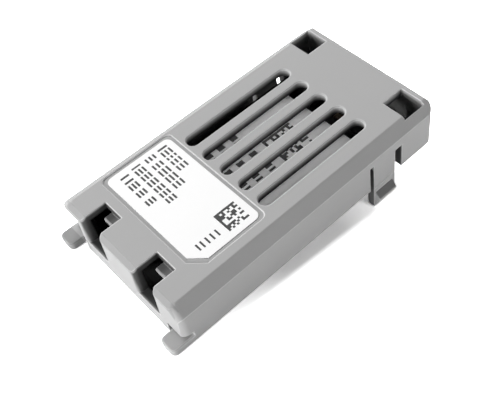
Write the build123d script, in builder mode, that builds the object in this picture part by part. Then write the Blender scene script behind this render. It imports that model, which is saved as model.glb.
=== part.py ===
from build123d import *
import os

os.makedirs("parts", exist_ok=True)

# Wifi module of an appliance: a snap-in plastic housing with a radio board inside.
# X runs across the housing, +Y to the plug end, +Z up, and Z 0 is at the ends of the clip legs.

# Housing, outside
body_width = 44.9
body_length = 80.6
body_height = 13.1
leg_drop = 7.1
tongue_reach = 3.3
side_bevel_run = 3.1
side_bevel_drop = 2.4
front_bevel_run = 1.3
front_bevel_drop = 1.0
front_draft = 0.7
back_bevel = 0.6
back_corner_r = 2.5
front_corner_r = 2.2
edge_r = 0.3
top_corner_r = 1.6
rim_chamfer = 0.25

# Housing, walls
side_wall = 2.2
top_wall = 2.2
back_wall = 1.8
front_wall = 2.9
inner_corner_r = 0.6

# Levels and limits that follow from the sizes above
seat_z = leg_drop
top_z = seat_z + body_height
shoulder_z = top_z - side_bevel_drop
ceiling_z = top_z - top_wall
half_width = body_width / 2
inner_half_width = half_width - side_wall
back_y = (body_length + tongue_reach) / 2
front_y = back_y - body_length
tip_y = front_y - tongue_reach
inner_back_y = back_y - back_wall
inner_front_y = front_y + front_wall
body_mid_y = (back_y + front_y) / 2

# Vent slots in the top
vent_count = 5
vent_pitch = 6.5
vent_width = 3.6
vent_from_back = 16.0
vent_to_label = 1.85
vent_shift = 0.35

# Windows at the back corners of the top
window_width = 7.2
window_length = 6.7

# Notches at the front of the top, open at the front wall
notch_inner_x = 6.6
notch_width = 6.5
notch_length = 7.7
notch_depth = 9.0
notch_mouth_r = 1.4

# Lug that a latch of the appliance holds, one in each notch
lug_width = 4.0
lug_reach = 2.3
lug_thickness = 1.2
lug_below_top = 2.9
lug_lead = 0.35
rib_thickness = 1.4

# Front corners of the housing: a recess on the left, a relief over the tongue on the right
recess_width = 7.15
recess_depth = 2.0
recess_corner_r = 1.8
recess_below_shoulder = 0.2
relief_inner_x = 16.4
relief_height = 1.5

# Tongues at the foot of the front corners
tongue_width = 5.05
tongue_thickness = 2.4
tongue_root = 6.0
tongue_corner_r = 1.3
tongue_edge_chamfer = 0.3

# Clip legs on the sides
leg_width = 7.4
leg_from_back = 14.35
front_slit = 1.3
front_slit_height = 8.7
rear_slit = 2.5
rear_slit_height = 8.1
barb_reach = 1.55
barb_width = 5.9
barb_from_leg_front = 0.4
barb_top_drop = 1.4
barb_slope = 1.7
barb_flat = 0.7
leg_tip_lead = 0.3

# Label on the top, in a shallow recess
label_width = 34.0
label_length = 18.55
label_left_x = -18.0
label_from_front = 11.1
label_thickness = 0.15
label_corner_cut = 3.4
label_corner_r = 1.6
label_margin = 0.95
label_recess_depth = 0.25

# Base cover
base_thickness = 1.4
fit_clearance = 0.15
leg_room = 1.0
leg_flex_room = 1.9
arm_thickness = 1.1
arm_width = 4.0
catch_reach = 1.1
catch_thickness = 1.4
catch_below_ceiling = 1.9
catch_lip = 0.5
barb_head = 1.2
snap_clearance = 0.1
tab_width = 4.0
tab_x = 4.0
tab_reach = 1.0
tab_thickness = 1.0
tab_lift = 0.3
upstand_thickness = 1.5
base_corner_r = 0.5

# Main board and how it is carried
board_width = 35.4
board_thickness = 1.6
board_lift = 2.3
board_front_gap = 0.6
board_shoulder_from_back = 10.1
board_tail_width = 17.0
board_tail_from_back = 2.5
board_corner_r = 1.0
post_d = 4.0
peg_d = 1.9
peg_hole_clearance = 0.1
peg_head_d = 3.0
peg_head_height = 0.8
post_x = 15.0
rear_post_from_back = 13.0
front_post_from_edge = 2.9

notch_back_y = front_y + notch_length
notch_x = notch_inner_x + notch_width / 2
draft_slope = front_draft / (body_height - front_bevel_drop)
mouth_y = front_y + front_draft + draft_slope * front_bevel_drop
lug_top_z = top_z - lug_below_top
tongue_top_z = seat_z + tongue_thickness
relief_top_z = tongue_top_z + relief_height
label_front_y = front_y + label_from_front
label_rear_y = label_front_y + label_length
vent_rear_y = back_y - vent_from_back
vent_length = vent_rear_y - label_rear_y - vent_to_label
leg_rear_y = back_y - leg_from_back
leg_front_y = leg_rear_y - leg_width
barb_z = seat_z - barb_top_drop
window_front_y = inner_back_y - window_length
catch_x = inner_half_width - window_width / 2
catch_z = ceiling_z - catch_below_ceiling
cavity_step_x = half_width - recess_width - side_wall / 2

base_top_z = seat_z + base_thickness
board_z = base_top_z + board_lift
board_top_z = board_z + board_thickness
board_front_y = notch_back_y + rib_thickness + board_front_gap
board_shoulder_y = back_y - board_shoulder_from_back
board_tail_y = back_y - board_tail_from_back
post_spots = [
    (side * post_x, y)
    for side in (-1, 1)
    for y in (back_y - rear_post_from_back, board_front_y + front_post_from_edge)
]

# Radio board with its shield and label
radio_width = 27.2
radio_thickness = 0.8
radio_setback = 2.2
radio_to_vent_end = 2.1
pad_end_gap = 3.0
pad_pitch = 2.0
pad_width = 0.9
pad_depth = 0.45
shield_margin = 0.6
shield_height = 1.9
shield_sheet = 0.2
shield_corner_r = 0.8
data_label_margin = 0.15
data_label_thickness = 0.1

radio_rear_y = vent_rear_y - radio_setback
radio_front_y = vent_rear_y - vent_length - radio_to_vent_end
radio_mid_y = (radio_rear_y + radio_front_y) / 2
radio_length = radio_rear_y - radio_front_y
pad_count = int((radio_length - 2 * pad_end_gap) / pad_pitch) + 1
radio_top_z = board_top_z + radio_thickness
shield_top_z = radio_top_z + shield_height
shield_width = radio_width - 2 * shield_margin
shield_length = radio_length - 2 * shield_margin

# Plug header at the back end
pin_count = 4
pin_pitch = 2.0
pin_size = 0.5
pin_play = 0.05
header_end = 1.95
header_headroom = 0.8
header_depth = 7.6
header_wall = 0.8
header_back = 2.0
header_inset = 2.6
header_slot_width = 1.2
header_slot_length = 3.0
header_opening_margin = 0.4
pin_tip_setback = 0.9
pin_solder_length = 1.5
pin_hole_d = 0.9
pin_heel = 0.6

header_width = (pin_count - 1) * pin_pitch + 2 * header_end
header_height = ceiling_z - header_headroom - board_top_z
header_mouth_y = inner_back_y - header_inset
header_heel_y = header_mouth_y - header_depth
header_opening_width = header_width + 2 * header_opening_margin
header_opening_z = board_top_z + header_height + header_opening_margin
pin_axis_z = board_top_z + header_height / 2
pin_drop_y = header_heel_y - pin_heel
pin_xs = [(i - (pin_count - 1) / 2) * pin_pitch for i in range(pin_count)]

# Small parts on the boards: length along X, width along Y, height
regulator_size = (6.5, 3.5, 1.6)
memory_size = (4.9, 3.9, 1.5)
interface_size = (9.9, 3.9, 1.5)
chip_gap = 0.1
chip_grid_x = 2.6
chip_grid_y = 1.6
lead_width = 0.42
lead_reach = 1.05
lead_thickness = 0.2
lead_pitch = 1.27
tab_lead_pitch = 2.3
tab_lead_width = 0.7
cooling_tab_width = 3.0
inductor_size = 4.0
inductor_height = 2.0
inductor_core_d = 3.2
inductor_flange = 0.5
tantalum_size = (3.5, 2.8, 1.9)
fuse_size = (3.2, 1.6, 0.6)
capacitor_size = (1.6, 0.8, 0.8)
resistor_size = (1.6, 0.8, 0.45)
crystal_size = (3.2, 2.5, 0.8)
led_size = (1.6, 0.8, 0.6)
transistor_size = (2.9, 1.3, 1.0)
transistor_lead_pitch = 0.95
antenna_size = (9.0, 2.0, 1.2)
radio_chip_size = (7.0, 7.0, 0.9)
radio_memory_size = (5.2, 6.0, 0.8)
radio_crystal_size = (2.5, 2.0, 0.6)

# Where the small parts stand: X from the middle, and the gap from the ends of the radio board
supply_gap = 4.2
regulator_x = -7.6
fuse_x = 3.6
inductor_x = 9.3
interface_gap = 5.2
memory_x = -11.6
crystal_x = 9.6
crystal_gap = 4.2
tantalum_x = 11.9
tantalum_gap = 8.7
tantalum_pitch = 4.6
transistor_x = -11.5
transistor_gap = 11.0
transistor_pitch = 4.0
middle_capacitor_gap = 10.2
side_capacitor_x = 14.2
side_capacitor_gap = 4.2
resistor_gap = 12.8
led_x = 9.6
led_gap = 13.2
radio_chip_x = 5.0
radio_chip_y = 4.0


# Cross-section of the housing with its bevels carried up to a ridge, which the top then cuts off.
# It starts below the foot of the walls, so that an inset copy stays open there.
ridge_z = shoulder_z + half_width * side_bevel_drop / side_bevel_run
section_points = [
    (-half_width, 0),
    (-half_width, shoulder_z),
    (0, ridge_z),
    (half_width, shoulder_z),
    (half_width, 0),
]


def label_points(margin):
    """Corners of the label, or of its recess with a margin, the front right one cut."""
    left = label_left_x - margin
    right = label_left_x + label_width + margin
    rear = label_rear_y + margin
    front = label_front_y - margin
    cut = label_corner_cut
    return [(left, front), (left, rear), (right, rear), (right, front + cut), (right - cut, front)]


# Space inside the cover, with its front left corner drawn in behind the outer recess
with BuildPart() as cavity:
    with BuildSketch(Plane.XY):
        with Locations((0, (inner_back_y + inner_front_y) / 2)):
            Rectangle(2 * inner_half_width, inner_back_y - inner_front_y)
        with Locations((-half_width, front_y)):
            Rectangle(
                half_width - cavity_step_x,
                recess_depth + side_wall,
                align=(Align.MIN, Align.MIN),
                mode=Mode.SUBTRACT,
            )
        fillet(vertices(), inner_corner_r)
    extrude(amount=ceiling_z)
    with BuildSketch(Plane.XZ):
        with BuildLine():
            Polyline(*section_points, close=True)
        make_face()
        offset(amount=-side_wall, kind=Kind.INTERSECTION)
    extrude(amount=body_length, both=True, mode=Mode.INTERSECT)

with BuildPart() as cover:
    # Outer form, where the plan, the cross-section and the side profile meet
    with BuildSketch(Plane.XY.offset(seat_z)):
        with Locations((0, body_mid_y)):
            outline = Rectangle(body_width, body_length)
        fillet(outline.vertices().group_by(Axis.Y)[-1], back_corner_r)
        fillet(vertices().group_by(Axis.Y)[0], front_corner_r)
    extrude(amount=body_height)
    with BuildSketch(Plane.XZ):
        with BuildLine():
            Polyline(*section_points, close=True)
        make_face()
    extrude(amount=body_length, both=True, mode=Mode.INTERSECT)
    with BuildSketch(Plane.YZ):
        with BuildLine():
            Polyline(
                (back_y, seat_z),
                (back_y, top_z - back_bevel),
                (back_y - back_bevel, top_z),
                (front_y + front_draft + front_bevel_run, top_z),
                (front_y + front_draft, top_z - front_bevel_drop),
                (front_y, seat_z),
                close=True,
            )
        make_face()
    extrude(amount=half_width, both=True, mode=Mode.INTERSECT)
    top_corners = [
        edge
        for edge in edges().filter_by(GeomType.LINE)
        if edge.center().Y < front_y + front_bevel_run + front_draft
        and half_width - side_bevel_run < abs(edge.center().X) < half_width
        and shoulder_z < edge.center().Z < top_z
    ]
    fillet(top_corners, top_corner_r)
    fillet(edges().group_by(Axis.Z)[-1], edge_r)

    add(cavity.part, mode=Mode.SUBTRACT)

    # Vent slots
    with BuildSketch(Plane.XY.offset(top_z)):
        with Locations((vent_shift, vent_rear_y - vent_length / 2)):
            with GridLocations(vent_pitch, 0, vent_count, 1):
                SlotOverall(vent_length, vent_width, rotation=90)
    extrude(amount=-2 * top_wall, mode=Mode.SUBTRACT)
    vent_rims = faces().sort_by(Axis.Z)[-1].inner_wires()
    chamfer([edge for rim in vent_rims for edge in rim.edges()], rim_chamfer)

    # Windows at the back corners, flush with the inner faces of the walls
    with BuildSketch(Plane.XY.offset(top_z)):
        for side in (-1, 1):
            with Locations((side * (inner_half_width - window_width / 2), inner_back_y - window_length / 2)):
                Rectangle(window_width, window_length)
    extrude(amount=-2 * top_wall, mode=Mode.SUBTRACT)

    # Notches at the front, with mouths that round off along the slope of the front wall
    with BuildSketch(Plane.XY.offset(top_z)):
        for side in (-1, 1):
            with Locations((side * notch_x, notch_back_y)):
                Rectangle(notch_width, notch_back_y - mouth_y, align=(Align.CENTER, Align.MAX))
            with Locations((side * notch_x, mouth_y)):
                Rectangle(notch_width + 3 * notch_mouth_r, front_wall, align=(Align.CENTER, Align.MAX))
        mouth_corners = [
            corner
            for corner in vertices()
            if abs(corner.Y - mouth_y) < 0.01 and abs(abs(corner.X) - notch_x) < notch_width / 2 + 0.01
        ]
        fillet(mouth_corners, notch_mouth_r)
    extrude(amount=notch_depth, dir=(0, -draft_slope, -1), mode=Mode.SUBTRACT)

    # Recess of the left front corner, below the shoulder
    with BuildSketch(Plane.XY.offset(shoulder_z - recess_below_shoulder)):
        with Locations((-half_width - recess_depth, front_y - recess_depth)):
            Rectangle(recess_width + recess_depth, 2 * recess_depth, align=(Align.MIN, Align.MIN))
            Rectangle(recess_depth, 4 * recess_depth, align=(Align.MIN, Align.MIN))
        inner_bend = vertices().sort_by_distance((-half_width, front_y + recess_depth))[0]
        fillet(inner_bend, recess_corner_r)
    extrude(amount=-body_height, mode=Mode.SUBTRACT)

    # Relief over and beside the tongue of the right front corner
    with BuildSketch(Plane.XY.offset(relief_top_z)):
        with Locations((relief_inner_x, inner_front_y)):
            Rectangle(half_width, 2 * front_wall, align=(Align.MIN, Align.MAX))
    extrude(amount=-body_height, mode=Mode.SUBTRACT)

    # Tongues, rooted on the side walls inside
    for side in (-1, 1):
        with BuildSketch(Plane.XY.offset(seat_z)):
            with Locations((side * (half_width - tongue_width / 2), tip_y)):
                Rectangle(
                    tongue_width,
                    tongue_reach + front_wall + tongue_root,
                    align=(Align.CENTER, Align.MIN),
                )
            fillet(vertices().group_by(Axis.Y)[0], tongue_corner_r)
        extrude(amount=tongue_thickness)
    for level in (seat_z, tongue_top_z):
        tip_edges = [
            edge
            for edge in edges().filter_by_position(Axis.Z, level - 0.01, level + 0.01)
            if edge.center().Y < front_y - tongue_edge_chamfer
        ]
        chamfer(tip_edges, tongue_edge_chamfer)

    # Slits beside the clip legs
    with Locations((0, leg_front_y, seat_z)):
        Box(
            2 * body_width,
            front_slit,
            front_slit_height,
            align=(Align.CENTER, Align.MAX, Align.MIN),
            mode=Mode.SUBTRACT,
        )
    with Locations((0, leg_rear_y, seat_z)):
        Box(
            2 * body_width,
            rear_slit,
            rear_slit_height,
            align=(Align.CENTER, Align.MIN, Align.MIN),
            mode=Mode.SUBTRACT,
        )

    # Clip legs and their barbs
    with BuildSketch(Plane.XZ.offset(-leg_rear_y)):
        with BuildLine():
            Polyline(
                (inner_half_width, seat_z),
                (half_width, seat_z),
                (half_width, 0),
                (inner_half_width + leg_tip_lead, 0),
                (inner_half_width, 2 * leg_tip_lead),
                close=True,
            )
        make_face()
        mirror(about=Plane.YZ)
    extrude(amount=leg_width)
    with BuildSketch(Plane.XZ.offset(-leg_front_y - barb_from_leg_front - barb_width)):
        with BuildLine():
            Polyline(
                (half_width, barb_z),
                (half_width + barb_reach, barb_z - barb_slope),
                (half_width + barb_reach, barb_z - barb_slope - barb_flat),
                (half_width, 0),
                close=True,
            )
        make_face()
        mirror(about=Plane.YZ)
    extrude(amount=barb_width)

    # Ribs with catches for the arms of the base cover, at the front edge of each window
    for side in (-1, 1):
        with BuildSketch(Plane.YZ.offset(side * catch_x)):
            with BuildLine():
                Polyline(
                    (window_front_y, ceiling_z),
                    (window_front_y - rib_thickness, ceiling_z),
                    (window_front_y - rib_thickness, catch_z - catch_thickness),
                    (window_front_y, catch_z - catch_thickness),
                    (window_front_y + catch_reach, catch_z - catch_lip),
                    (window_front_y + catch_reach, catch_z),
                    (window_front_y, catch_z),
                    close=True,
                )
            make_face()
        extrude(amount=arm_width / 2, both=True)

    # Lugs in the notches, each on a short rib under the top
    for side in (-1, 1):
        with BuildSketch(Plane.YZ.offset(side * notch_x)):
            with BuildLine():
                Polyline(
                    (notch_back_y, ceiling_z),
                    (notch_back_y + rib_thickness, ceiling_z),
                    (notch_back_y + rib_thickness, lug_top_z - lug_thickness),
                    (notch_back_y - lug_reach, lug_top_z - lug_thickness),
                    (notch_back_y - lug_reach, lug_top_z - lug_lead),
                    (notch_back_y - lug_reach + lug_lead, lug_top_z),
                    (notch_back_y, lug_top_z),
                    close=True,
                )
            make_face()
        extrude(amount=lug_width / 2, both=True)

    # Pockets in the front wall for the tabs of the base cover
    for side in (-1, 1):
        with Locations((side * tab_x, inner_front_y, base_top_z + tab_lift - fit_clearance)):
            Box(
                tab_width + 2 * fit_clearance,
                2 * (tab_reach + fit_clearance),
                tab_thickness + 2 * fit_clearance,
                align=(Align.CENTER, Align.CENTER, Align.MIN),
                mode=Mode.SUBTRACT,
            )

    # Opening of the back wall for the plug, down to the foot of the wall
    with Locations((0, inner_back_y - inner_corner_r, seat_z)):
        Box(
            header_opening_width,
            2 * back_wall,
            header_opening_z - seat_z,
            align=(Align.CENTER, Align.MIN, Align.MIN),
            mode=Mode.SUBTRACT,
        )

    # Recess of the label
    with BuildSketch(Plane.XY.offset(top_z)):
        with BuildLine():
            Polyline(*label_points(label_margin), close=True)
        make_face()
        fillet(vertices().sort_by(Axis.X)[:2] + vertices().sort_by(Axis.Y)[-1:], label_corner_r)
    extrude(amount=-label_recess_depth, mode=Mode.SUBTRACT)
cover.part.label = "cover"
export_step(cover.part, "parts/cover.step")


# Base cover: a plate inside the walls, with posts for the board and two snap arms
with BuildPart() as base_cover:
    base_half_width = inner_half_width - fit_clearance
    base_front_y = inner_front_y + fit_clearance
    base_back_y = inner_back_y - fit_clearance
    with BuildSketch(Plane.XY.offset(seat_z)):
        with Locations((0, base_front_y)):
            Rectangle(2 * base_half_width, base_back_y - base_front_y, align=(Align.CENTER, Align.MIN))
        for side in (-1, 1):
            # Corner left free for the root of a tongue
            with Locations((side * half_width, inner_front_y)):
                Rectangle(
                    2 * (tongue_width + fit_clearance),
                    2 * (tongue_root + fit_clearance),
                    mode=Mode.SUBTRACT,
                )
            # Room for a clip leg to bend inwards
            with Locations((side * inner_half_width, leg_front_y - front_slit - leg_room)):
                Rectangle(
                    2 * leg_flex_room,
                    leg_width + front_slit + rear_slit + 2 * leg_room,
                    align=(Align.CENTER, Align.MIN),
                    mode=Mode.SUBTRACT,
                )
        with Locations((fit_clearance - cavity_step_x, front_y)):
            Rectangle(
                half_width,
                recess_depth + side_wall + fit_clearance,
                align=(Align.MAX, Align.MIN),
                mode=Mode.SUBTRACT,
            )
        fillet(vertices(), base_corner_r)
    extrude(amount=base_thickness)

    # Posts, with pegs that pass through the board and are headed over it
    with Locations(*[(x, y, base_top_z) for x, y in post_spots]):
        Cylinder(post_d / 2, board_lift, align=(Align.CENTER, Align.CENTER, Align.MIN))
        Cylinder(peg_d / 2, board_lift + board_thickness, align=(Align.CENTER, Align.CENTER, Align.MIN))
    with Locations(*[(x, y, board_top_z) for x, y in post_spots]):
        Cylinder(peg_head_d / 2, peg_head_height, align=(Align.CENTER, Align.CENTER, Align.MIN))
    chamfer(edges().filter_by(GeomType.CIRCLE).group_by(Axis.Z)[-1], peg_head_height / 2)

    # Snap arms, with barbs that rest on the catches of the cover
    arm_y = window_front_y + catch_reach + snap_clearance
    barb_foot_z = catch_z + snap_clearance
    for side in (-1, 1):
        with BuildSketch(Plane.YZ.offset(side * catch_x)):
            with BuildLine():
                Polyline(
                    (arm_y, base_top_z),
                    (arm_y + arm_thickness, base_top_z),
                    (arm_y + arm_thickness, barb_foot_z + barb_head),
                    (arm_y, barb_foot_z + barb_head),
                    (window_front_y + snap_clearance, barb_foot_z + catch_lip),
                    (window_front_y + snap_clearance, barb_foot_z),
                    (arm_y, barb_foot_z),
                    close=True,
                )
            make_face()
        extrude(amount=arm_width / 2, both=True)

    # Front tabs, which tuck into pockets of the front wall
    for side in (-1, 1):
        with Locations((side * tab_x, base_front_y, base_top_z)):
            Box(
                tab_width,
                upstand_thickness,
                tab_lift + tab_thickness,
                align=(Align.CENTER, Align.MIN, Align.MIN),
            )
        with Locations((side * tab_x, base_front_y, base_top_z + tab_lift)):
            Box(
                tab_width,
                tab_reach + fit_clearance,
                tab_thickness,
                align=(Align.CENTER, Align.MAX, Align.MIN),
            )

    # Upstand that closes the plug opening below the board
    with Locations((0, back_y, seat_z)):
        Box(
            header_opening_width - 2 * fit_clearance,
            back_wall + 2 * fit_clearance,
            board_z - fit_clearance - seat_z,
            align=(Align.CENTER, Align.MAX, Align.MIN),
        )
base_cover.part.label = "base_cover"
export_step(base_cover.part, "parts/base_cover.step")

# Label on the top
with BuildPart() as top_label:
    with BuildSketch(Plane.XY.offset(top_z - label_recess_depth)):
        with BuildLine():
            Polyline(*label_points(0), close=True)
        make_face()
        fillet(vertices().sort_by(Axis.X)[:2] + vertices().sort_by(Axis.Y)[-1:], label_corner_r)
    extrude(amount=label_thickness)
top_label.part.label = "top_label"
export_step(top_label.part, "parts/top_label.step")

# Main board, with a tail that carries the plug header
with BuildPart() as circuit_board:
    with BuildSketch(Plane.XY.offset(board_z)):
        with Locations((0, board_front_y)):
            Rectangle(board_width, board_shoulder_y - board_front_y, align=(Align.CENTER, Align.MIN))
            Rectangle(board_tail_width, board_tail_y - board_front_y, align=(Align.CENTER, Align.MIN))
        fillet(vertices(), board_corner_r)
        with Locations(*post_spots):
            Circle(peg_d / 2 + peg_hole_clearance, mode=Mode.SUBTRACT)
        with Locations(*[(x, pin_drop_y) for x in pin_xs]):
            Circle(pin_hole_d / 2, mode=Mode.SUBTRACT)
    extrude(amount=board_thickness)
circuit_board.part.label = "circuit_board"
export_step(circuit_board.part, "parts/circuit_board.step")

# Radio board, with notched solder pads along its long sides
with BuildPart() as radio_board:
    with BuildSketch(Plane.XY.offset(board_top_z)):
        with Locations((0, radio_mid_y)):
            Rectangle(radio_width, radio_length)
            with GridLocations(radio_width, pad_pitch, 2, pad_count):
                Rectangle(2 * pad_depth, pad_width, mode=Mode.SUBTRACT)
    extrude(amount=radio_thickness)
radio_board.part.label = "radio_board"
export_step(radio_board.part, "parts/radio_board.step")

# Shield: a folded sheet box, open at the foot
with BuildPart() as shield_can:
    with BuildSketch(Plane.XY.offset(radio_top_z)):
        with Locations((0, radio_mid_y)):
            RectangleRounded(shield_width, shield_length, shield_corner_r)
    extrude(amount=shield_height)
    with BuildSketch(Plane.XY.offset(radio_top_z)):
        with Locations((0, radio_mid_y)):
            RectangleRounded(
                shield_width - 2 * shield_sheet,
                shield_length - 2 * shield_sheet,
                shield_corner_r - shield_sheet,
            )
    extrude(amount=shield_height - shield_sheet, mode=Mode.SUBTRACT)
shield_can.part.label = "shield_can"
export_step(shield_can.part, "parts/shield_can.step")

with BuildPart() as data_label:
    with BuildSketch(Plane.XY.offset(shield_top_z)):
        with Locations((0, radio_mid_y)):
            RectangleRounded(
                shield_width - 2 * data_label_margin,
                shield_length - 2 * data_label_margin,
                shield_corner_r,
            )
    extrude(amount=data_label_thickness)
data_label.part.label = "data_label"
export_step(data_label.part, "parts/data_label.step")

# Plug header: its housing, open to the back, and its bent pins
with BuildPart() as plug_header:
    with Locations((0, header_heel_y, board_top_z)):
        Box(header_width, header_depth, header_height, align=(Align.CENTER, Align.MIN, Align.MIN))
    with Locations((0, header_mouth_y, pin_axis_z)):
        Box(
            header_width - 2 * header_wall,
            header_depth - header_back,
            header_height - 2 * header_wall,
            align=(Align.CENTER, Align.MAX, Align.CENTER),
            mode=Mode.SUBTRACT,
        )
    # Latching slots in the roof
    with Locations((0, header_mouth_y, board_top_z + header_height)):
        with GridLocations(2 * pin_pitch, 0, 2, 1):
            Box(
                header_slot_width,
                2 * header_slot_length,
                2 * header_wall,
                mode=Mode.SUBTRACT,
            )
    # Passages of the pins through the back
    with Locations(*[(x, header_heel_y, pin_axis_z) for x in pin_xs]):
        Box(
            pin_size + 2 * pin_play,
            2 * header_back + pin_size,
            pin_size + 2 * pin_play,
            mode=Mode.SUBTRACT,
        )
plug_header.part.label = "plug_header"
export_step(plug_header.part, "parts/plug_header.step")

with BuildPart() as header_pins:
    pin_tip_y = header_mouth_y - pin_tip_setback
    for x in pin_xs:
        with Locations((x, pin_drop_y - pin_size / 2, pin_axis_z)):
            Box(
                pin_size,
                pin_tip_y - pin_drop_y + pin_size / 2,
                pin_size,
                align=(Align.CENTER, Align.MIN, Align.CENTER),
            )
        with Locations((x, pin_drop_y, pin_axis_z)):
            Box(
                pin_size,
                pin_size,
                pin_axis_z - board_z + pin_solder_length,
                align=(Align.CENTER, Align.CENTER, Align.MAX),
            )
header_pins.part.label = "header_pins"
export_step(header_pins.part, "parts/header_pins.step")


def block(size):
    """A plain body that stands on the plane of the present location."""
    return Box(*size, align=(Align.CENTER, Align.CENTER, Align.MIN))


def side_leads(size, xs, width, side):
    """Bent leads of one long side of a chip: a foot on the board and a riser at the body."""
    depth = size[1]
    for x in xs:
        with Locations((x, side * depth / 2, 0)):
            reach = lead_reach if side > 0 else -lead_reach
            with Locations((0, reach / 2, 0)):
                block((width, lead_reach, lead_thickness))
            with Locations((0, side * lead_thickness, 0)):
                block((width, 2 * lead_thickness, size[2] / 2))


def row(count, pitch):
    """Places of a centred row."""
    return [(i - (count - 1) / 2) * pitch for i in range(count)]


def leaded_chip(size, lead_count):
    """A chip body just off the board, with a row of bent leads on each long side."""
    with Locations((0, 0, chip_gap)):
        block((size[0], size[1], size[2] - chip_gap))
    for side in (-1, 1):
        side_leads(size, row(lead_count, lead_pitch), lead_width, side)


supply_y = radio_rear_y + supply_gap

with BuildPart() as voltage_regulator:
    with Locations((regulator_x, supply_y, board_top_z)):
        with Locations((0, 0, chip_gap)):
            block((regulator_size[0], regulator_size[1], regulator_size[2] - chip_gap))
        side_leads(regulator_size, row(3, tab_lead_pitch), tab_lead_width, -1)
        side_leads(regulator_size, [0], cooling_tab_width, 1)
voltage_regulator.part.label = "voltage_regulator"
export_step(voltage_regulator.part, "parts/voltage_regulator.step")

with BuildPart() as power_inductor:
    with Locations((inductor_x, supply_y, board_top_z)):
        block((inductor_size, inductor_size, inductor_flange))
        Cylinder(inductor_core_d / 2, inductor_height, align=(Align.CENTER, Align.CENTER, Align.MIN))
        with Locations((0, 0, inductor_height - inductor_flange)):
            block((inductor_size, inductor_size, inductor_flange))
power_inductor.part.label = "power_inductor"
export_step(power_inductor.part, "parts/power_inductor.step")

with BuildPart() as input_fuse:
    with Locations((fuse_x, supply_y, board_top_z)):
        block(fuse_size)
input_fuse.part.label = "input_fuse"
export_step(input_fuse.part, "parts/input_fuse.step")

with BuildPart() as interface_chip:
    with Locations((0, radio_front_y - interface_gap, board_top_z)):
        leaded_chip(interface_size, 8)
interface_chip.part.label = "interface_chip"
export_step(interface_chip.part, "parts/interface_chip.step")

with BuildPart() as memory_chip:
    with Locations((memory_x, radio_front_y - interface_gap, board_top_z)):
        leaded_chip(memory_size, 4)
memory_chip.part.label = "memory_chip"
export_step(memory_chip.part, "parts/memory_chip.step")

with BuildPart() as crystal:
    with Locations((crystal_x, radio_front_y - crystal_gap, board_top_z)):
        block(crystal_size)
crystal.part.label = "crystal"
export_step(crystal.part, "parts/crystal.step")

with BuildPart() as tantalum_capacitors:
    with Locations((tantalum_x, radio_front_y - tantalum_gap, board_top_z)):
        with GridLocations(tantalum_pitch, 0, 2, 1):
            block(tantalum_size)
tantalum_capacitors.part.label = "tantalum_capacitors"
export_step(tantalum_capacitors.part, "parts/tantalum_capacitors.step")

with BuildPart() as transistors:
    for x in (transistor_x - transistor_pitch / 2, transistor_x + transistor_pitch / 2):
        with Locations((x, radio_front_y - transistor_gap, board_top_z)):
            with Locations((0, 0, chip_gap)):
                block((transistor_size[0], transistor_size[1], transistor_size[2] - chip_gap))
            side_leads(transistor_size, row(2, 2 * transistor_lead_pitch), lead_width, -1)
            side_leads(transistor_size, [0], lead_width, 1)
transistors.part.label = "transistors"
export_step(transistors.part, "parts/transistors.step")

with BuildPart() as ceramic_capacitors:
    with Locations((0, radio_front_y - middle_capacitor_gap, board_top_z)):
        with GridLocations(chip_grid_x, chip_grid_y, 4, 1):
            block(capacitor_size)
    with Locations((side_capacitor_x, radio_front_y - side_capacitor_gap, board_top_z)):
        with GridLocations(0, chip_grid_y, 1, 2):
            block(capacitor_size)
ceramic_capacitors.part.label = "ceramic_capacitors"
export_step(ceramic_capacitors.part, "parts/ceramic_capacitors.step")

with BuildPart() as resistors:
    with Locations((0, radio_front_y - resistor_gap, board_top_z)):
        with GridLocations(chip_grid_x, chip_grid_y, 4, 2):
            block(resistor_size)
resistors.part.label = "resistors"
export_step(resistors.part, "parts/resistors.step")

with BuildPart() as status_led:
    with Locations((led_x, radio_front_y - led_gap, board_top_z)):
        block(led_size)
status_led.part.label = "status_led"
export_step(status_led.part, "parts/status_led.step")

with BuildPart() as antenna:
    with Locations((0, board_front_y + antenna_size[1], board_top_z)):
        block(antenna_size)
antenna.part.label = "antenna"
export_step(antenna.part, "parts/antenna.step")

with BuildPart() as radio_chip:
    with Locations((-radio_chip_x, radio_mid_y + radio_chip_y, radio_top_z)):
        block(radio_chip_size)
radio_chip.part.label = "radio_chip"
export_step(radio_chip.part, "parts/radio_chip.step")

with BuildPart() as radio_memory:
    with Locations((radio_chip_x, radio_mid_y + radio_chip_y, radio_top_z)):
        block(radio_memory_size)
radio_memory.part.label = "radio_memory"
export_step(radio_memory.part, "parts/radio_memory.step")

with BuildPart() as radio_crystal:
    with Locations((-radio_chip_x, radio_mid_y - radio_chip_y, radio_top_z)):
        block(radio_crystal_size)
radio_crystal.part.label = "radio_crystal"
export_step(radio_crystal.part, "parts/radio_crystal.step")
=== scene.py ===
import math

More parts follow.
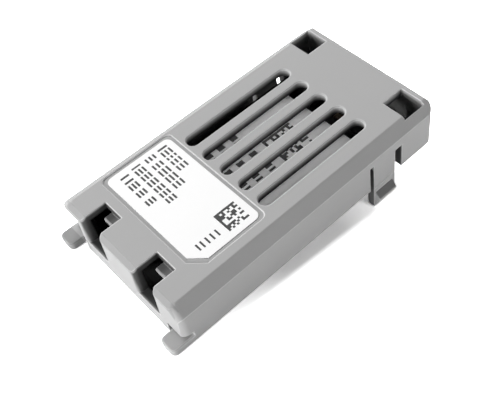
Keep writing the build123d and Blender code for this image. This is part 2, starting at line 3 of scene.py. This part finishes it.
import bpy
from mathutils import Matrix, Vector


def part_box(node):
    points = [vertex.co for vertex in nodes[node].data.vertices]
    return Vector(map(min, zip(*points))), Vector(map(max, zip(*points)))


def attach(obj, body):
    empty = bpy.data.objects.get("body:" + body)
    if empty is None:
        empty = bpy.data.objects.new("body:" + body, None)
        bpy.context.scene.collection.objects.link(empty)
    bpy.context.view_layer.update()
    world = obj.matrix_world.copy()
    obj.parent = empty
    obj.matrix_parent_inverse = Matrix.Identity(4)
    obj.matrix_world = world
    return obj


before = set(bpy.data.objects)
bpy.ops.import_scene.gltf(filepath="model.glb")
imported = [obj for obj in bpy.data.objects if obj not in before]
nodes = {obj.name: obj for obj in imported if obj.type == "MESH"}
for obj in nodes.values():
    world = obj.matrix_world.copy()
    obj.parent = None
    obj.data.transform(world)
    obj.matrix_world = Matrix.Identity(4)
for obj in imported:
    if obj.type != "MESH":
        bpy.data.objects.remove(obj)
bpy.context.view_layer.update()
mm = 0.001
print("frame loaded:", len(nodes), "nodes")

scene = bpy.context.scene
scene.view_settings.view_transform = "Standard"


# Small helpers for node trees

def feed(node, slot, value):
    # Links the slot to a socket, or sets it to a plain value.
    if isinstance(value, bpy.types.NodeSocket):
        node.id_data.links.new(value, node.inputs[slot])
    else:
        node.inputs[slot].default_value = value


def addNode(tree, kind, place, inputs=(), **settings):
    node = tree.nodes.new(kind)
    node.location = place
    for key, value in settings.items():
        setattr(node, key, value)
    for slot, value in dict(inputs).items():
        feed(node, slot, value)
    return node


def addMath(tree, operation, place, *values, **settings):
    node = addNode(tree, "ShaderNodeMath", place, enumerate(values), operation=operation, **settings)
    return node.outputs[0]


def addVectorMath(tree, operation, place, inputs):
    node = addNode(tree, "ShaderNodeVectorMath", place, inputs, operation=operation)
    return node.outputs["Value" if operation in ("LENGTH", "DOT_PRODUCT") else "Vector"]


def addRamp(tree, place, value, start, end, shape="SMOOTHSTEP"):
    # 0 at the start and 1 at the end, and held beyond them.
    node = addNode(tree, "ShaderNodeMapRange", place, {"Value": value, "From Min": start, "From Max": end},
                   interpolation_type=shape)
    return node.outputs["Result"]


def addColorMix(tree, place, factor, first, second):
    node = addNode(tree, "ShaderNodeMix", place, data_type="RGBA")
    colorSlots = [i for i, socket in enumerate(node.inputs) if socket.type == "RGBA"]
    for slot, value in zip([0] + colorSlots, (factor, first, second)):
        feed(node, slot, value)
    return next(socket for socket in node.outputs if socket.type == "RGBA")


def addShaderMix(tree, place, factor, first, second):
    return addNode(tree, "ShaderNodeMixShader", place, enumerate((factor, first, second))).outputs[0]


def splitAxes(tree, place, vector):
    return addNode(tree, "ShaderNodeSeparateXYZ", place, {0: vector}).outputs


def newGroup(name, inputs, outputs):
    group = bpy.data.node_groups.new(name, "ShaderNodeTree")
    for label, kind, start in inputs:
        socket = group.interface.new_socket(label, in_out="INPUT", socket_type=kind)
        if start is not None:
            socket.default_value = start
    for label, kind in outputs:
        group.interface.new_socket(label, in_out="OUTPUT", socket_type=kind)
    given = addNode(group, "NodeGroupInput", (-900, 0)).outputs
    target = addNode(group, "NodeGroupOutput", (900, 0))
    return group, given, target


def greyOf(level):
    return (level, level, level, 1.0)


# Camera, from the photograph's viewing point

cameraSettings = {
    "place": (102.03, -62.76, 156.82),
    "turn": (36.733, 4.904, 46.277),
    "lens": 55.58,
    "sensor": 36.0,
    "shift": (-0.1029, 0.0038),
    "clip": (0.01, 10),
}
cameraData = bpy.data.cameras.new("viewCamera")
cameraData.lens = cameraSettings["lens"]
cameraData.sensor_width = cameraSettings["sensor"]
cameraData.shift_x, cameraData.shift_y = cameraSettings["shift"]
cameraData.clip_start, cameraData.clip_end = cameraSettings["clip"]
camera = bpy.data.objects.new("viewCamera", cameraData)
camera.location = [v * mm for v in cameraSettings["place"]]
camera.rotation_euler = [math.radians(v) for v in cameraSettings["turn"]]
scene.collection.objects.link(camera)
scene.camera = camera


# Floor, lamps and world

# The module stands on its two tongues and on the ends of its clip legs, so the floor slopes down to the back by
# "slope" degrees, and is at height 0 at "restY" millimetres, under the legs. "white" is its paint for the light,
# "mirrored" for reflections and "shown" for the camera, which falls to "foot" beside the two long walls: a painted
# shadow that deepens the lamps' own shadow where it is deepest. The foot's distances are millimetres from the
# middle; "whiteFrom" and "whiteAt" are metres.
floorSettings = {
    "halfSide": 0.8, "restY": 20.2, "slope": 6.548,
    "white": 0.9, "mirrored": 1.05, "shown": 4.4, "foot": 1.8,
    "footAt": 22.4, "footEnd": 24.5, "footFull": 9.0, "footFrom": 28.0,
    "glow": 0.15, "whiteFrom": 0.10, "whiteAt": 0.22,
}


def floorMaterial(cfg):
    material = bpy.data.materials.new("floorWhite")
    material.use_nodes = True
    tree = material.node_tree
    tree.nodes.clear()
    rays = addNode(tree, "ShaderNodeLightPath", (-800, 200)).outputs
    place = addNode(tree, "ShaderNodeTexCoord", (-1000, -200)).outputs["Object"]
    axes = splitAxes(tree, (-800, 400), place)
    mirrored = addMath(tree, "MAXIMUM", (-600, 100), rays["Is Glossy Ray"], rays["Is Transmission Ray"])
    paint = addColorMix(tree, (-400, 100), mirrored, greyOf(cfg["white"]), greyOf(cfg["mirrored"]))
    across = addMath(tree, "ABSOLUTE", (-650, 400), axes["X"])
    along = addMath(tree, "ABSOLUTE", (-650, 300), axes["Y"])
    # Painted shadow: beside the middle of the two long walls the camera's paint falls from "shown" to "foot".
    beside = addRamp(tree, (-500, 500), across, cfg["footEnd"] * mm, cfg["footAt"] * mm)
    middle = addRamp(tree, (-500, 300), along, cfg["footFrom"] * mm, cfg["footFull"] * mm, "LINEAR")
    foot = addMath(tree, "MULTIPLY", (-350, 400), beside, middle)
    shown = addMath(tree, "MULTIPLY_ADD", (-200, 400), foot, cfg["foot"] - cfg["shown"], cfg["shown"])
    color = addColorMix(tree, (-200, 200), rays["Is Camera Ray"], paint, shown)
    painted = addNode(tree, "ShaderNodeBsdfDiffuse", (0, 200), {"Color": color})
    # A faint glow for the light alone, as on a light table, so that the underside isn't black.
    unseen = addMath(tree, "MULTIPLY_ADD", (-200, 0), rays["Is Camera Ray"], -cfg["glow"], cfg["glow"])
    glow = addNode(tree, "ShaderNodeEmission", (0, 0), {"Strength": unseen})
    lit = addNode(tree, "ShaderNodeAddShader", (150, 150), {0: painted.outputs[0], 1: glow.outputs[0]})
    # Away from the module the camera sees plain white.
    distance = addVectorMath(tree, "LENGTH", (-600, -200), {0: place})
    away = addRamp(tree, (-400, -200), distance, cfg["whiteFrom"], cfg["whiteAt"])
    far = addMath(tree, "MULTIPLY", (-200, -200), away, rays["Is Camera Ray"])
    plain = addNode(tree, "ShaderNodeEmission", (0, -200))
    top = addShaderMix(tree, (280, 100), far, lit.outputs[0], plain.outputs[0])
    # From below, the floor lets the underside be seen.
    side = addNode(tree, "ShaderNodeNewGeometry", (200, 300))
    clear = addNode(tree, "ShaderNodeBsdfTransparent", (200, -100))
    both = addShaderMix(tree, (400, 100), side.outputs["Backfacing"], top, clear.outputs[0])
    addNode(tree, "ShaderNodeOutputMaterial", (600, 100), {"Surface": both})
    return material


def makeFloor(cfg):
    slope = math.tan(math.radians(cfg["slope"]))
    half = cfg["halfSide"]
    corners = []
    for x, y in ((-half, -half), (half, -half), (half, half), (-half, half)):
        corners.append((x, y, (cfg["restY"] * mm - y) * slope))
    mesh = bpy.data.meshes.new("floor")
    mesh.from_pydata(corners, [], [(0, 1, 2, 3)])
    mesh.materials.append(floorMaterial(cfg))
    floor = bpy.data.objects.new("floor", mesh)
    scene.collection.objects.link(floor)


# Soft lamps all round: directions from the middle of the module, sizes and distances in metres.
lampCentre = Vector((0, 0, 0.012))
lampSettings = {
    "rearLamp": {"towards": (-0.559, 0.599, 0.574), "distance": 0.9, "size": 0.4, "watts": 3.8},
    "leftLamp": {"towards": (-0.807, -0.142, 0.574), "distance": 0.9, "size": 0.4, "watts": 5.95},
    "frontLamp": {"towards": (0.0, -0.978, 0.208), "distance": 0.5, "size": 0.22, "watts": 2.68},
    "rightLamp": {"towards": (0.919, 0.335, 0.208), "distance": 0.5, "size": 0.22, "watts": 0.96},
}


def makeLamp(name, cfg):
    data = bpy.data.lights.new(name, "AREA")
    data.shape = "DISK"
    data.size = cfg["size"]
    data.energy = cfg["watts"]
    lamp = bpy.data.objects.new(name, data)
    towards = Vector(cfg["towards"]).normalized()
    lamp.location = lampCentre + towards * cfg["distance"]
    lamp.rotation_mode = "QUATERNION"
    lamp.rotation_quaternion = towards.to_track_quat("Z", "Y")
    scene.collection.objects.link(lamp)


# The world gives a faint light all round, and is white to the camera and through clear things.
worldSettings = {"ambient": 0.03, "shown": 1.0}


def makeWorld(cfg):
    world = bpy.data.worlds.new("studio")
    world.use_nodes = True
    tree = world.node_tree
    tree.nodes.clear()
    rays = addNode(tree, "ShaderNodeLightPath", (-600, 0)).outputs
    seen = addMath(tree, "MAXIMUM", (-400, 0), rays["Is Camera Ray"], rays["Is Transmission Ray"])
    skies = []
    for y, strength in ((100, cfg["ambient"]), (-100, cfg["shown"])):
        sky = addNode(tree, "ShaderNodeBackground", (-200, y), {"Strength": strength, "Color": greyOf(1.0)})
        skies.append(sky.outputs[0])
    surface = addShaderMix(tree, (0, 0), seen, skies[0], skies[1])
    addNode(tree, "ShaderNodeOutputWorld", (200, 0), {"Surface": surface})
    scene.world = world


makeFloor(floorSettings)
for lampName, lampCfg in lampSettings.items():
    makeLamp(lampName, lampCfg)
makeWorld(worldSettings)
print("stage ready")


# Shared effects

# The fine spark-eroded grain of a mould, with a slow drift of tone. Edges get a painted highlight, a little paler: an
# edge is where the rounded normal leaves the face's own, fully so where their product is down to "edgeAlike".
grainSettings = {
    "fine": {"Detail": 3.0, "Roughness": 0.6},
    "slow": {"Scale": 90.0, "Detail": 2.0},
    "fineShare": 0.35, "middle": 0.675, "roughShare": 0.3,
    "edgeAlike": 0.92, "edgeSamples": 8, "bumpDistance": 0.00004,
}


def buildMouldGrain(cfg):
    # Grain Scale is in grains a millimetre.
    group, given, target = newGroup(
        "mouldGrain",
        [("Color", "NodeSocketColor", greyOf(0.5)), ("Grain Scale", "NodeSocketFloat", 4.0),
         ("Grain Depth", "NodeSocketFloat", 0.1), ("Tone Spread", "NodeSocketFloat", 0.04),
         ("Roughness", "NodeSocketFloat", 0.5), ("Round Edge", "NodeSocketFloat", 0.0002),
         ("Painted Edge Highlight", "NodeSocketFloat", 0.0)],
        [("Color", "NodeSocketColor"), ("Roughness", "NodeSocketFloat"), ("Normal", "NodeSocketVector")],
    )
    place = addNode(group, "ShaderNodeTexCoord", (-900, -300)).outputs["Object"]
    perMetre = addMath(group, "MULTIPLY", (-700, -100), given["Grain Scale"], 1 / mm)
    fine = addNode(group, "ShaderNodeTexNoise", (-500, -100), {"Vector": place, "Scale": perMetre, **cfg["fine"]})
    slow = addNode(group, "ShaderNodeTexNoise", (-500, -400), {"Vector": place, **cfg["slow"]})
    blend = addMath(group, "MULTIPLY_ADD", (-300, -250), fine.outputs["Fac"], cfg["fineShare"], slow.outputs["Fac"])
    centred = addMath(group, "SUBTRACT", (-100, -250), blend, cfg["middle"])
    spread = addMath(group, "MULTIPLY_ADD", (100, -250), centred, given["Tone Spread"], 1.0)
    edge = addNode(group, "ShaderNodeBevel", (-500, -650), {"Radius": given["Round Edge"]},
                   samples=cfg["edgeSamples"]).outputs[0]
    face = addNode(group, "ShaderNodeNewGeometry", (-500, -850)).outputs["True Normal"]
    alike = addVectorMath(group, "DOT_PRODUCT", (-300, -700), {0: edge, 1: face})
    turned = addRamp(group, (-100, -700), alike, 1.0, cfg["edgeAlike"], "LINEAR")
    # Painted highlight: edges are made paler by the edge highlight input.
    paler = addMath(group, "MULTIPLY_ADD", (200, -600), turned, given["Painted Edge Highlight"], spread)
    feed(target, "Color", addVectorMath(group, "SCALE", (300, 100), {0: given["Color"], "Scale": paler}))
    feed(target, "Roughness", addMath(group, "MULTIPLY_ADD", (300, -100), centred, cfg["roughShare"],
                                      given["Roughness"]))
    bump = addNode(group, "ShaderNodeBump", (400, -400), {
        "Distance": cfg["bumpDistance"], "Height": fine.outputs["Fac"], "Strength": given["Grain Depth"],
        "Normal": edge})
    feed(target, "Normal", bump.outputs[0])
    return group


mouldGrain = buildMouldGrain(grainSettings)


def startMaterial(name):
    material = bpy.data.materials.new(name)
    material.use_nodes = True
    tree = material.node_tree
    shader = tree.nodes["Principled BSDF"]
    shader.location = (400, 0)
    tree.nodes["Material Output"].location = (700, 0)
    return material, tree, shader


def useGrain(tree, cfg):
    return addNode(tree, "ShaderNodeGroup", (-100, 0), node_tree=mouldGrain, inputs={
        "Color": cfg["color"] + (1.0,),
        "Grain Scale": cfg["grain"],
        "Grain Depth": cfg["depth"],
        "Tone Spread": cfg["spread"],
        "Roughness": cfg["rough"],
        "Round Edge": cfg.get("round", 0.0001),
        "Painted Edge Highlight": cfg.get("edge", 0.0),
    }).outputs


def grainMaterial(name, cfg):
    material, tree, shader = startMaterial(name)
    grain = useGrain(tree, cfg)
    feed(shader, "Base Color", grain["Color"])
    feed(shader, "Roughness", grain["Roughness"])
    feed(shader, "Normal", grain["Normal"])
    feed(shader, "Metallic", cfg.get("metal", 0.0))
    feed(shader, "Specular IOR Level", cfg.get("specular", 0.4))
    return material


def buildBoxMask():
    # 1 well inside a box of object coordinates in millimetres, falling to 0 at its faces.
    group, given, target = newGroup(
        "boxMask",
        [("Place", "NodeSocketVector", None), ("Low", "NodeSocketVector", None),
         ("High", "NodeSocketVector", None), ("Ramp", "NodeSocketFloat", 1.0)],
        [("Mask", "NodeSocketFloat")],
    )
    above = addVectorMath(group, "SUBTRACT", (-700, 150), {0: given["Place"], 1: given["Low"]})
    below = addVectorMath(group, "SUBTRACT", (-700, -50), {0: given["High"], 1: given["Place"]})
    near = addVectorMath(group, "MINIMUM", (-500, 50), {0: above, 1: below})
    axes = splitAxes(group, (-300, 50), near)
    plan = addMath(group, "MINIMUM", (-100, 100), axes["X"], axes["Y"])
    depth = addMath(group, "MINIMUM", (100, 50), plan, axes["Z"])
    feed(target, "Mask", addRamp(group, (400, 0), depth, 0.0, given["Ramp"]))
    return group


boxMask = buildBoxMask()


# Housing plastic: pale outside, with painted shade, darker the deeper a face lies inside and on a few shaded outer
# faces. Each box is (low, high, ramp, strength), in millimetres. A box of "both" counts for both sides of the module
# at once, and for it the side and front bevels count as level with the top. A box of "own" stays where it is. The
# first set of boxes paints shade towards "shadowed", and the second set takes painted shade away from the first.
housingSettings = {
    "color": (0.435, 0.435, 0.435), "grain": 2.6, "depth": 0.2, "spread": 0.07, "rough": 0.55,
    # "edge" is the strength of the painted edge highlight.
    "round": 0.00035, "edge": 0.75, "specular": 0.15,
    # Grey of the deepest painted shade
    "shadowed": 0.01,
    "bevelFromX": 19.2, "bevelFromY": 36.5, "bevelSlope": 0.85,
    "paintedShade": {
        "both": [
            # Painted shade inside the cover: a slow fall from its faces, and full depth low down
            ((-5.0, -37.9, 8.3), (21.6, 41.3, 20.1), 2.2, 0.97),
            ((-5.0, -35.9, 8.35), (20.2, 40.1, 14.0), 0.12, 0.97),
            # Painted shade in the front notch
            ((5.4, -38.45, 10.2), (14.3, -29.0, 20.1), 0.8, 0.84),
            # Painted shade in the slits beside the clip leg, and on the leg's front face
            ((18.0, 17.5, 7.6), (22.3, 31.0, 16.6), 0.5, 0.78),
            ((19.0, 18.6, 0.3), (22.4, 20.5, 16.6), 0.2, 0.72),
            # Painted shade on the upper slope of the barb
            ((22.48, 20.4, 8.0), (24.3, 26.8, 9.3), 0.12, 0.65),
            # Painted shade on the front bevel
            ((-1.0, -38.7, 19.8), (21.0, -36.48, 20.7), 0.1, 0.2),
        ],
        # Painted shade on the left tongue
        "own": [((-24.0, -43.0, 6.0), (-14.0, -38.45, 11.0), 0.3, 0.3)],
    },
    "shadeLifted": {
        # Latch lug in the notch, with less painted shade
        "both": [((7.6, -33.5, 15.9), (12.1, -30.7, 17.5), 0.3, 0.7)],
        # Slit on the far side, where light comes in, with less painted shade
        "own": [((-22.4, 19.8, 7.4), (-20.0, 20.6, 10.6), 0.1, 0.95)],
    },
}


def foldedPlace(tree, cfg, axes):
    # X without its sign, and Z raised by the way past the start of the side and front bevels.
    across = addMath(tree, "ABSOLUTE", (-1250, -250), axes["X"])
    forward = addMath(tree, "MULTIPLY", (-1250, -600), axes["Y"], -1.0)
    height = axes["Z"]
    for y, way, start in ((-550, across, cfg["bevelFromX"]), (-700, forward, cfg["bevelFromY"])):
        past = addMath(tree, "SUBTRACT", (-1100, y), way, start)
        kept = addMath(tree, "MAXIMUM", (-950, y), past, 0.0)
        height = addMath(tree, "MULTIPLY_ADD", (-800, y), kept, cfg["bevelSlope"], height)
    folded = addNode(tree, "ShaderNodeCombineXYZ", (-650, -400), {"X": across, "Y": axes["Y"], "Z": height})
    return folded.outputs[0]


def housingMaterial(cfg):
    material, tree, shader = startMaterial("housingPlastic")
    grain = useGrain(tree, cfg)
    place = addNode(tree, "ShaderNodeTexCoord", (-1700, -400)).outputs["Object"]
    inMm = addVectorMath(tree, "SCALE", (-1550, -400), {0: place, "Scale": 1 / mm})
    axes = splitAxes(tree, (-1400, -400), inMm)
    places = {"both": foldedPlace(tree, cfg, axes), "own": inMm}
    shadeAmount = 0.0
    y = -300
    for kind, operation in (("paintedShade", "MAXIMUM"), ("shadeLifted", "SUBTRACT")):
        for sides, boxes in cfg[kind].items():
            for low, high, ramp, strength in boxes:
                mask = addNode(tree, "ShaderNodeGroup", (-450, y), node_tree=boxMask, inputs={
                    "Place": places[sides], "Low": low, "High": high, "Ramp": ramp})
                weighted = addMath(tree, "MULTIPLY", (-300, y), mask.outputs["Mask"], strength)
                shadeAmount = addMath(tree, operation, (-150, y), shadeAmount, weighted, use_clamp=True)
                y -= 200
    # Painted shade: the colour mixes towards "shadowed" as far as the boxes reach.
    feed(shader, "Base Color", addColorMix(tree, (200, 200), shadeAmount, grain["Color"], greyOf(cfg["shadowed"])))
    feed(shader, "Roughness", grain["Roughness"])
    feed(shader, "Normal", grain["Normal"])
    feed(shader, "Specular IOR Level", cfg["specular"])
    return material


# The other finishes. "grain" is in grains a millimetre.
materialSettings = {
    "labelFilm": {"color": (1.0, 1.0, 1.0), "grain": 2.0, "depth": 0.03, "spread": 0.02, "rough": 0.5,
                  "specular": 0.15},
    "labelPaper": {"color": (0.95, 0.95, 0.95), "grain": 3.0, "depth": 0.05, "spread": 0.02, "rough": 0.6},
    "printInk": {"color": (0.09, 0.09, 0.09), "grain": 6.0, "depth": 0.02, "spread": 0.3, "rough": 0.6,
                 "specular": 0.1},
    "dataInk": {"color": (0.015, 0.015, 0.015), "grain": 6.0, "depth": 0.02, "spread": 0.3, "rough": 0.5},
    "boardMask": {"color": (0.006, 0.006, 0.007), "grain": 1.2, "depth": 0.06, "spread": 0.3, "rough": 0.4},
    "shieldSheet": {"color": (0.62, 0.62, 0.61), "grain": 3.0, "depth": 0.05, "spread": 0.1, "rough": 0.38,
                    "metal": 1.0},
    "headerNylon": {"color": (0.70, 0.69, 0.64), "grain": 4.0, "depth": 0.06, "spread": 0.06, "rough": 0.5},
    "tinnedPin": {"color": (0.66, 0.66, 0.65), "grain": 3.0, "depth": 0.05, "spread": 0.1, "rough": 0.3,
                  "metal": 1.0},
    "chipResin": {"color": (0.012, 0.012, 0.013), "grain": 8.0, "depth": 0.15, "spread": 0.3, "rough": 0.55},
    "ferriteGrey": {"color": (0.03, 0.03, 0.032), "grain": 6.0, "depth": 0.2, "spread": 0.4, "rough": 0.6},
    "firedCeramic": {"color": (0.16, 0.12, 0.08), "grain": 6.0, "depth": 0.1, "spread": 0.3, "rough": 0.5},
    "ledResin": {"color": (0.75, 0.75, 0.68), "grain": 3.0, "depth": 0.03, "spread": 0.1, "rough": 0.25},
}
materials = {name: grainMaterial(name, cfg) for name, cfg in materialSettings.items()}
materials["housingPlastic"] = housingMaterial(housingSettings)

nodeMaterials = {
    "cover": "housingPlastic", "base_cover": "housingPlastic", "top_label": "labelFilm",
    "data_label": "labelPaper", "shield_can": "shieldSheet", "circuit_board": "boardMask",
    "radio_board": "boardMask", "plug_header": "headerNylon", "header_pins": "tinnedPin",
    "voltage_regulator": "chipResin", "power_inductor": "ferriteGrey", "input_fuse": "firedCeramic",
    "interface_chip": "chipResin", "memory_chip": "chipResin", "crystal": "shieldSheet",
    "tantalum_capacitors": "chipResin", "transistors": "chipResin", "ceramic_capacitors": "firedCeramic",
    "resistors": "chipResin", "status_led": "ledResin", "antenna": "firedCeramic",
    "radio_chip": "chipResin", "radio_memory": "chipResin", "radio_crystal": "shieldSheet",
}
for nodeName, materialName in nodeMaterials.items():
    slots = nodes[nodeName].data.materials
    for i in range(len(slots)):
        slots[i] = materials[materialName]
    if not len(slots):
        slots.append(materials[materialName])
print("materials set:", len(materials))


# Print on the labels: plain bars and blocks

def buildMarkTree():
    # Turns points with a size into thin printed blocks.
    tree = bpy.data.node_groups.new("printedMarks", "GeometryNodeTree")
    tree.interface.new_socket("Points", in_out="INPUT", socket_type="NodeSocketGeometry")
    tree.interface.new_socket("Thickness", in_out="INPUT", socket_type="NodeSocketFloat")
    tree.interface.new_socket("Ink", in_out="INPUT", socket_type="NodeSocketMaterial")
    tree.interface.new_socket("Marks", in_out="OUTPUT", socket_type="NodeSocketGeometry")
    given = addNode(tree, "NodeGroupInput", (-800, 0)).outputs
    size = addNode(tree, "GeometryNodeInputNamedAttribute", (-600, -400), {"Name": "markSize"},
                   data_type="FLOAT_VECTOR")
    axes = splitAxes(tree, (-400, -450), size.outputs["Attribute"])
    scale = addNode(tree, "ShaderNodeCombineXYZ", (-200, -450), {
        "X": axes["X"], "Y": axes["Y"], "Z": given["Thickness"]})
    block = addNode(tree, "GeometryNodeMeshCube", (-400, -200))
    placed = addNode(tree, "GeometryNodeInstanceOnPoints", (0, 0), {
        "Points": given["Points"], "Instance": block.outputs["Mesh"], "Scale": scale.outputs[0]})
    real = addNode(tree, "GeometryNodeRealizeInstances", (200, 0), {"Geometry": placed.outputs["Instances"]})
    inked = addNode(tree, "GeometryNodeSetMaterial", (400, 0), {
        "Geometry": real.outputs["Geometry"], "Material": given["Ink"]})
    addNode(tree, "NodeGroupOutput", (800, 0), {"Marks": inked.outputs["Geometry"]})
    return tree


markTree = buildMarkTree()


def socketId(tree, name):
    return next(s.identifier for s in tree.interface.items_tree if s.name == name and s.in_out == "INPUT")


def printMarks(name, marks, height, ink, thickness=0.00001):
    # Marks are (x, y, width, depth) in millimetres; height is the face that they lie on, in metres.
    mesh = bpy.data.meshes.new(name + "Points")
    mesh.from_pydata([(x * mm, y * mm, height + thickness / 2) for x, y, w, d in marks], [], [])
    sizes = mesh.attributes.new("markSize", "FLOAT_VECTOR", "POINT")
    for i, (x, y, w, d) in enumerate(marks):
        sizes.data[i].vector = (w * mm, d * mm, 1)
    piece = bpy.data.objects.new(name, mesh)
    scene.collection.objects.link(piece)
    modifier = piece.modifiers.new("marks", "NODES")
    modifier.node_group = markTree
    modifier[socketId(markTree, "Thickness")] = thickness
    modifier[socketId(markTree, "Ink")] = ink
    bpy.context.view_layer.update()
    graph = bpy.context.evaluated_depsgraph_get()
    made = bpy.data.meshes.new_from_object(piece.evaluated_get(graph))
    made.name = name
    piece.modifiers.clear()
    piece.data = made
    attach(piece, "root")


# Code blocks: a solid left column and bottom row, and a fixed pattern in the rest that means nothing. A cell is
# filled where the remainder of a sum, divided by "cycle", is below "filled".
patternSettings = {"rowStep": 7, "columnStep": 13, "fold": 5, "cycle": 9, "filled": 4}


def isFilled(row, column, cfg=patternSettings):
    total = row * cfg["rowStep"] + column * cfg["columnStep"] + (row * column) % cfg["fold"] + (row ^ column)
    return total % cfg["cycle"] < cfg["filled"]


def codeBlock(cfg):
    cells = cfg["codeCells"]
    step = cfg["codeSide"] / cells
    middleX, middleY = cfg["codeCentre"]
    marks = []
    for row in range(cells):
        for column in range(cells):
            edge = column == 0 or row == cells - 1
            if edge or isFilled(row, column):
                marks.append((middleX + (column - (cells - 1) / 2) * step,
                              middleY - (row - (cells - 1) / 2) * step, step, step))
    return marks


# Print of the top label, in millimetres. Each row: its middle along Y, its height, and the blocks as (left, right)
# along X. A block is three stripes, and one below "narrow" wide is solid.
topPrintSettings = {
    "rows": [
        (-12.1, 2.7, [(-16.5, -15.9), (-15.3, -13.4), (-12.9, -12.0), (-11.4, -9.9), (-9.3, -7.5)]),
        (-16.0, 2.7, [(-16.5, -14.9), (-13.6, -11.9), (-11.2, -9.0), (-8.5, -6.3), (-5.8, -3.9)]),
        (-19.9, 2.5, [(-16.5, -16.0), (-15.3, -13.4), (-12.9, -11.1), (-10.5, -8.6), (-7.9, -6.2),
                      (-5.7, -4.1), (-3.5, -1.8)]),
        (-23.6, 2.4, [(-16.0, -15.4), (-14.2, -13.6), (-12.9, -10.9), (-9.9, -8.0), (-6.4, -4.6)]),
    ],
    "stripe": 0.5, "narrow": 0.8,
    "codeCentre": (11.3, -13.7), "codeSide": 5.8, "codeCells": 10,
    "captionX": 12.35, "captionWidth": 2.0, "captionHeight": 0.45,
    "captionRows": [-18.7, -20.1, -21.5, -22.9, -24.1],
}


def topMarks(cfg):
    marks = []
    for y, height, blocks in cfg["rows"]:
        for left, right in blocks:
            width = right - left
            middle = (left + right) / 2
            if width < cfg["narrow"]:
                marks.append((middle, y, width, height))
                continue
            for share in (-0.5, 0, 0.5):
                marks.append((middle, y + share * (height - cfg["stripe"]), width, cfg["stripe"]))
    marks += codeBlock(cfg)
    marks += [(cfg["captionX"], y, cfg["captionWidth"], cfg["captionHeight"]) for y in cfg["captionRows"]]
    return marks


# Print of the label on the shield, in millimetres. Each row: its middle along Y, its height, and where its bars end
# along X. The first bar of every "group" is thin.
dataPrintSettings = {
    "rows": [(-4.15, 2.0, 9.0), (-0.3, 2.0, 7.5), (3.85, 2.0, 9.0)],
    "start": -11.5, "bar": 1.4, "thinBar": 0.7, "gap": 0.6, "group": 3,
    "codeCentre": (1.1, 12.1), "codeSide": 9.0, "codeCells": 12,
}


def dataMarks(cfg):
    marks = []
    for y, height, end in cfg["rows"]:
        x = cfg["start"]
        count = 0
        while x < end:
            width = cfg["bar"] if count % cfg["group"] else cfg["thinBar"]
            marks.append((x + width / 2, y, width, height))
            x += width + cfg["gap"]
            count += 1
    return marks + codeBlock(cfg)


printMarks("topPrint", topMarks(topPrintSettings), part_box("top_label")[1].z, materials["printInk"])
printMarks("dataPrint", dataMarks(dataPrintSettings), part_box("data_label")[1].z, materials["dataInk"])
print("labels printed")
